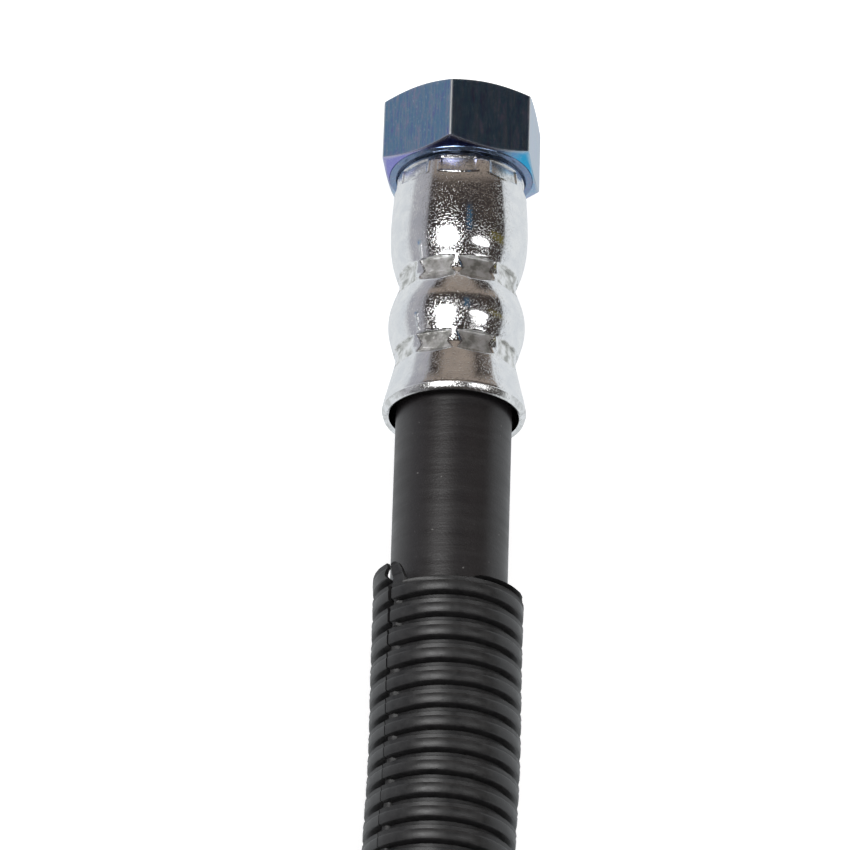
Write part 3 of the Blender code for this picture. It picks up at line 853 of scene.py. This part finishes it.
def sleeve_surfaces(rows, turn, length):
    """Gives the sleeve's outer and inner points by rows and by shares of the turn past the slit."""
    rows = rows[:, None]
    from_end = np.clip(np.minimum(rows, length - rows), 0, None)
    width = SLIT_CLOSED + (SLIT_WIDTH - SLIT_CLOSED) * np.exp(-from_end / SLIT_DECAY)
    half_slit = width / 2 / CROWN_RADIUS
    opening = SLIT_OPENING * bell(rows, NOTCH_PLACE, NOTCH_REACH)
    past_top = half_slit + (2 * math.pi - 2 * half_slit - opening) * turn[None, :]
    twist = SLIT_TWIST * (1 - np.exp(-np.clip(rows, 0, None) / SLIT_TWIST_REACH))
    angles = SLIT_ANGLE + twist - past_top
    degrees = np.degrees(past_top)
    cut_degrees, cut_places = np.array(CUT_LINE).T
    cut = sum(np.interp(degrees + step, cut_degrees, cut_places) for step in (-0.7, 0, 0.7))
    cut = cut / 3 * MM
    rough_edge = 1 - bell(degrees, 100, 38)
    cut = cut + rough_edge * (0.035 * MM * np.sin(past_top * 17)
                              + 0.025 * MM * np.sin(past_top * 41 + 1))
    places = np.maximum(rows, cut)
    # At the right the cut end still holds the foot of one more rib
    foot = RIB_FOOT * bell(degrees, 105, 45, 4)
    radius = rib_radius(np.where(places < 0, places - foot, places))
    # Small moulded webs bridge the grooves beside the slit
    end_lip = places < END_LIP
    web = np.clip((np.where(end_lip, END_LIP_ANGLE, WEB_ANGLE) - degrees) / WEB_FADE, 0, 1)
    web_radius = np.where(end_lip, END_LIP_RADIUS, WEB_RADIUS)
    radius = np.maximum(radius, radius + web * (web_radius - radius))
    past_cut = np.clip(places - cut, 0, None)
    left = bell(degrees, 360, 30)
    right = bell(degrees, 0, 11)
    flare = np.exp(-past_cut / FLARE_DECAY) * (LEFT_FLARE * left + RIGHT_FLARE * right) * MM
    hook = 1 + bell(degrees, 120, 35)
    rim = RIM_HEIGHT * hook * np.exp(-past_cut / RIM_DECAY)
    # The sleeve neither sinks into the floor nor stands higher than the nut
    top_limit = AXIS_HEIGHT / np.maximum(np.abs(np.sin(angles)), 0.5)
    outer_radius = np.minimum(radius + flare + rim, top_limit - SLEEVE_CLEARANCE)
    inner_radius = np.maximum(outer_radius - SLEEVE_WALL, HOSE_DIAMETER / 2 + SLEEVE_PLAY)
    return (tube_points(EXPOSED_HOSE + places, outer_radius, angles),
            tube_points(EXPOSED_HOSE + places, inner_radius, angles))


def make_sleeve(finish):
    """Makes the ribbed split sleeve with its slit, its webs and its rough cut end."""
    length = HOSE_END - 2 * EXPOSED_HOSE
    near_length = FIRST_GROOVE + RIB_PITCH
    rows = sleeve_rows(-CUT_REACH, near_length)
    crowded = np.linspace(-CUT_REACH, 0.4 * MM, CUT_ROWS)
    rows = np.unique(np.concatenate([rows, crowded]))
    all_round = np.linspace(0, 1, END_COLUMNS)
    beside_web = (WEB_ANGLE + 2) / 360
    web_edges = [0, (WEB_ANGLE - WEB_FADE) / 360, WEB_ANGLE / 360]
    coarse = np.concatenate([web_edges, np.linspace(beside_web, 1, SLEEVE_COLUMNS)])
    pieces = []
    for part, part_rows, turn in (
            ("near", rows, all_round), ("long", sleeve_rows(near_length, length), coarse)):
        outer, inner = sleeve_surfaces(part_rows, turn, length)
        folded = np.concatenate([inner[:, :1], outer, inner[:, -1:]], axis=1)
        pieces.append(grid_mesh(part + "_outside", folded[:, ::-1], sharp=60))
        # The thin inside shows only at the cut ends
        if part == "near":
            lining = np.concatenate([outer[:1], inner])
        else:
            lining = np.concatenate([inner[part_rows > length - LINING_DEPTH], outer[-1:]])
        pieces.append(grid_mesh(part + "_inside", lining, sharp=60))
    made = join("ribbed_sleeve", pieces)
    made.data.materials.append(finish)
    return made


def join(name, pieces):
    """Joins several objects into the first one."""
    with bpy.context.temp_override(
            active_object=pieces[0], object=pieces[0],
            selected_objects=pieces, selected_editable_objects=pieces):
        bpy.ops.object.join()
    pieces[0].name = name
    pieces[0].data.name = name
    return pieces[0]


# Stage, lights and camera

def around(angle, tilt, distance):
    """Gives a point at an angle round the hose's axis and a tilt towards +Y, from the aim point."""
    across = Vector((math.cos(angle), 0, math.sin(angle)))
    return AIM + (across * math.cos(tilt) + Vector((0, 1, 0)) * math.sin(tilt)) * distance


CAMERA_DIRECTION = (
    Vector((math.cos(CAMERA_SIDE), 0, math.sin(CAMERA_SIDE))) * math.cos(AXIS_TILT)
    - Vector((0, 1, 0)) * math.sin(AXIS_TILT))
CAMERA_UP = (
    Vector((math.cos(CAMERA_SIDE), 0, math.sin(CAMERA_SIDE))) * math.sin(AXIS_TILT)
    + Vector((0, 1, 0)) * math.cos(AXIS_TILT))
CAMERA_RIGHT = CAMERA_UP.cross(CAMERA_DIRECTION)
AIM = Vector((0, NUT_FACE_Y - AIM_BACK, AXIS_HEIGHT)) - CAMERA_RIGHT * AIM_LEFT


def make_camera():
    """Places the camera as in the photograph."""
    data = bpy.data.cameras.new("photo_camera")
    data.sensor_width = SENSOR
    data.lens = LENS
    data.clip_start = 0.01
    camera = bpy.data.objects.new("photo_camera", data)
    bpy.context.scene.collection.objects.link(camera)
    up = CAMERA_UP * math.cos(CAMERA_ROLL) - CAMERA_RIGHT * math.sin(CAMERA_ROLL)
    right = CAMERA_RIGHT * math.cos(CAMERA_ROLL) + CAMERA_UP * math.sin(CAMERA_ROLL)
    place = Matrix((right, up, CAMERA_DIRECTION)).transposed().to_4x4()
    place.translation = AIM + CAMERA_DIRECTION * CAMERA_DISTANCE
    camera.matrix_world = place
    bpy.context.scene.camera = camera


def area_light(name, place, width, height, watts):
    """Adds an oval light that faces the aim point, its height lying towards +Y."""
    data = bpy.data.lights.new(name, "AREA")
    data.shape = "ELLIPSE"
    data.size = width
    data.size_y = height
    data.energy = watts
    made = bpy.data.objects.new(name, data)
    bpy.context.scene.collection.objects.link(made)
    back = (place - AIM).normalized()
    up = Vector((0, 1, 0))
    right = up.cross(back).normalized()
    made.matrix_world = Matrix.Translation(place) @ Matrix(
        (right, back.cross(right), back)).transposed().to_4x4()


def turn_step(tree, turn, edges):
    """Gives 0 at one angle and 1 at another, both in degrees, eased between them."""
    return step_up(tree, turn, *(math.radians(edge) for edge in edges))


def room_patch(tree, turn, lengthwise, patch):
    """Gives 1 in the middle of a patch of the room, easing to 0 at its edges."""
    middle, reach, place, length = patch
    across = band(tree, turn, math.radians(middle), math.radians(reach))
    return math_node(tree, "MULTIPLY", across, band(tree, lengthwise, place, length))


def make_surroundings():
    """Makes the studio: white light all round, and a dim room with pale sides in reflections."""
    world = bpy.data.worlds.new("studio")
    bpy.context.scene.world = world
    world.use_nodes = True
    tree = world.node_tree
    pale = tree.nodes["Background"]
    pale.inputs["Color"].default_value = (1, 0.99, 0.99, 1)
    pale.inputs["Strength"].default_value = 0.8
    source = add_node(tree, "ShaderNodeTexCoord")
    parts = add_node(tree, "ShaderNodeSeparateXYZ")
    tree.links.new(source.outputs["Generated"], parts.inputs["Vector"])
    turn = math_node(tree, "ARCTAN2", parts.outputs["Z"], parts.outputs["X"])
    below = math_node(tree, "LESS_THAN", turn, -math.pi / 2)
    turn = math_node(tree, "ADD", turn, math_node(tree, "MULTIPLY", below, 2 * math.pi))
    lengthwise = parts.outputs["Y"]
    overhead = step_up(tree, lengthwise, *OVERHEAD_START)
    off_centre = math_node(tree, "SUBTRACT", turn, math.radians(OVERHEAD_MIDDLE))
    off_centre = math_node(tree, "ABSOLUTE", off_centre, 0)
    centred = turn_step(tree, off_centre, OVERHEAD_SIDES)
    wide = math_node(tree, "SUBTRACT", 1, step_up(tree, lengthwise, *OVERHEAD_WIDE_END))
    overhead = math_node(tree, "MULTIPLY", overhead, math_node(tree, "MAXIMUM", centred, wide))
    stripe = room_patch(tree, turn, lengthwise, BLUE_STRIPE)
    room = mix_colour(tree, stripe, ROOM_DARK, ROOM_BLUE)
    patch = room_patch(tree, turn, lengthwise, YELLOW_PATCH)
    room = mix_colour(tree, patch, room, ROOM_YELLOW)
    room = mix_colour(tree, overhead, room, ROOM_BROWN)
    room = mix_colour(tree, turn_step(tree, turn, LEFT_WALL), room, ROOM_GREY)
    room = mix_colour(tree, turn_step(tree, turn, LEFT_FLOOR), room, ROOM_WHITE)
    room = mix_colour(tree, turn_step(tree, turn, RIGHT_SIDE), room, ROOM_WHITE)
    room = mix_colour(tree, step_up(tree, lengthwise, *PALE_FRONT), room, ROOM_WHITE)
    room = mix_colour(tree, step_up(tree, lengthwise, *DARK_REAR), room, ROOM_DARK)
    reflected = add_node(tree, "ShaderNodeBackground")
    tree.links.new(room, reflected.inputs["Color"])
    rays = add_node(tree, "ShaderNodeLightPath")
    mix = add_node(tree, "ShaderNodeMixShader")
    tree.links.new(rays.outputs["Is Glossy Ray"], mix.inputs["Fac"])
    tree.links.new(pale.outputs["Background"], mix.inputs[1])
    tree.links.new(reflected.outputs["Background"], mix.inputs[2])
    tree.links.new(mix.outputs["Shader"], tree.nodes["World Output"].inputs["Surface"])


def make_stage():
    """Adds the pale floor and the soft lights."""
    floor_mesh = bpy.data.meshes.new("floor")
    floor_mesh.from_pydata(
        [(-FLOOR_REACH, -FLOOR_REACH, 0), (FLOOR_REACH, -FLOOR_REACH, 0),
         (FLOOR_REACH, FLOOR_REACH, 0), (-FLOOR_REACH, FLOOR_REACH, 0)], [], [(0, 1, 2, 3)])
    floor = bpy.data.objects.new("floor", floor_mesh)
    floor.location.z = -FLOOR_DROP
    floor.visible_glossy = False
    bpy.context.scene.collection.objects.link(floor)
    made, _, shader = new_material("floor_paint")
    shader.inputs["Base Color"].default_value = (0.9, 0.9, 0.9, 1)
    shader.inputs["Roughness"].default_value = 0.9
    shader.inputs["Specular IOR Level"].default_value = 0
    shader.inputs["Emission Color"].default_value = (1, 1, 1, 1)
    shader.inputs["Emission Strength"].default_value = FLOOR_GLOW
    floor.data.materials.append(made)
    make_surroundings()
    area_light("left_softbox", around(math.radians(131), math.radians(3.5), LIGHT_DISTANCE),
               width=0.52, height=0.34, watts=3.9)
    area_light("right_softbox", around(math.radians(75), math.radians(2), LIGHT_DISTANCE),
               width=0.5, height=0.15, watts=0.7)


def main():
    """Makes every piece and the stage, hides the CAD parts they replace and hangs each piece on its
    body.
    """
    make_camera()
    finishes = {
        "nut": blue_zinc(), "tail": tail_steel(), "ferrule": bright_zinc(),
        "hose": hose_rubber(), "sleeve": sleeve_plastic()}
    hose = make_hose(finishes["hose"])
    sleeve = make_sleeve(finishes["sleeve"])
    for prefix, x_offset, nut_body in (("", 0.0, "near_nut"), ("far_", FAR_X, "far_nut")):
        nut = make_nut(prefix + "hex_nut", x_offset, finishes["nut"])
        tail = make_tail(prefix + "nose_and_neck", x_offset, finishes["tail"])
        ferrule = make_ferrule(prefix + "crimped_shell", x_offset, finishes["ferrule"])
        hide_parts(prefix + "swivel_nut")
        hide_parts(prefix + "hose_tail")
        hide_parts(prefix + "crimp_ferrule")
        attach(nut, nut_body)
        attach(tail, "hose_assembly")
        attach(ferrule, "hose_assembly")
    for piece, node, slot in (
            (hose, "rubber_hose", "hose_rubber"), (sleeve, "split_loom", "loom_plastic")):
        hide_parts(node)
        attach(piece, "hose_assembly")
    make_stage()
    bpy.context.scene.view_settings.view_transform = "Standard"


main()
